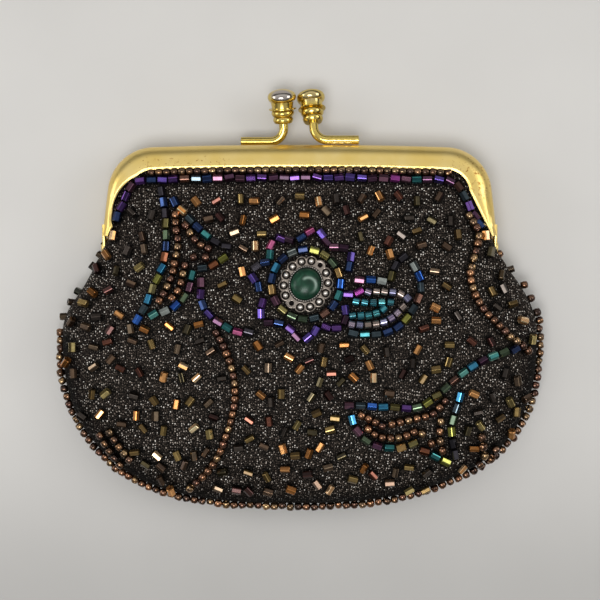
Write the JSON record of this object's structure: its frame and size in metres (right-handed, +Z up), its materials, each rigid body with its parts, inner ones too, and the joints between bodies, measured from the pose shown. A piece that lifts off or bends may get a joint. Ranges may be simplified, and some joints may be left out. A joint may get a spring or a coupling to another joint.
{
  "type": "kiss lock frame purse",
  "caption": "Small beaded coin purse with a hinged metal kiss lock frame; the front half of the frame swings open on riveted ears.",
  "frame": {"origin": "on the table below the middle of the closed purse, which lies on its back", "axes": "+X along the frame to the right, +Y from the foot of the bag to the clasp, +Z up through the front of the purse"},
  "size_m": [0.1156, 0.0999, 0.0191],
  "materials": {
    "brass": "stamped gold-tone plated sheet, worn polish",
    "brass_turned": "bright turned and plated",
    "cloth": "charcoal metallic knit",
    "lining": "plain woven lining",
    "paper_cord": "twisted kraft paper",
    "seed_glass": "bronze lustre glass",
    "bugle_glass": "purple iris cut glass",
    "lilac_glass": "lilac and teal silver-lined glass",
    "bronze_bugle_glass": "bronze and amber cut glass",
    "antique_silver": "cast, antiqued plating",
    "green_stone": "polished dark green cabochon"
  },
  "bodies": {
    "bag": {"back_frame": "brass", "left_hinge_rivet": "brass", "right_hinge_rivet": "brass", "left_clasp_stem": "brass_turned", "left_clasp_knob": "brass_turned", "back_packing_cord": "paper_cord", "front_panel_fold": "cloth", "front_panel_pouch": "cloth", "back_panel": "cloth", "front_lining": "lining", "back_lining": "lining", "back_lip_seed_beads": "seed_glass", "back_lip_bugle_beads": "bugle_glass", "edge_seed_beads": "seed_glass", "flower_setting": "antique_silver", "flower_cabochon": "green_stone", "flower_ring_beads": "bugle_glass", "flower_petal_beads": "bugle_glass", "leaf_bugle_beads": "bugle_glass", "leaf_seed_beads": "lilac_glass", "left_leaf_bugle_beads": "bugle_glass", "left_leaf_seed_beads": "lilac_glass", "violet_vine_beads": "bugle_glass", "left_seed_vine_beads": "seed_glass", "right_leaf_bugle_beads": "bugle_glass", "right_leaf_seed_beads": "lilac_glass", "right_seed_vine_beads": "seed_glass", "scattered_bugle_beads": "bronze_bugle_glass"},
    "opening_frame": {"front_frame": "brass", "right_clasp_stem": "brass_turned", "right_clasp_knob": "brass_turned", "front_packing_cord": "paper_cord", "front_panel_yoke": "cloth", "front_lip_seed_beads": "seed_glass", "front_lip_bugle_beads": "bugle_glass"}
  },
  "joints": [
    {"name": "frame_hinge", "type": "hinge", "parent": "bag", "child": "opening_frame", "pos_m": [0, 0.0125, 0.0064], "axis": [1, 0, 0], "range_deg": [0, 85], "deforming": ["front_panel_fold", "front_lining", "left_leaf_bugle_beads", "left_leaf_seed_beads"]}
  ]
}
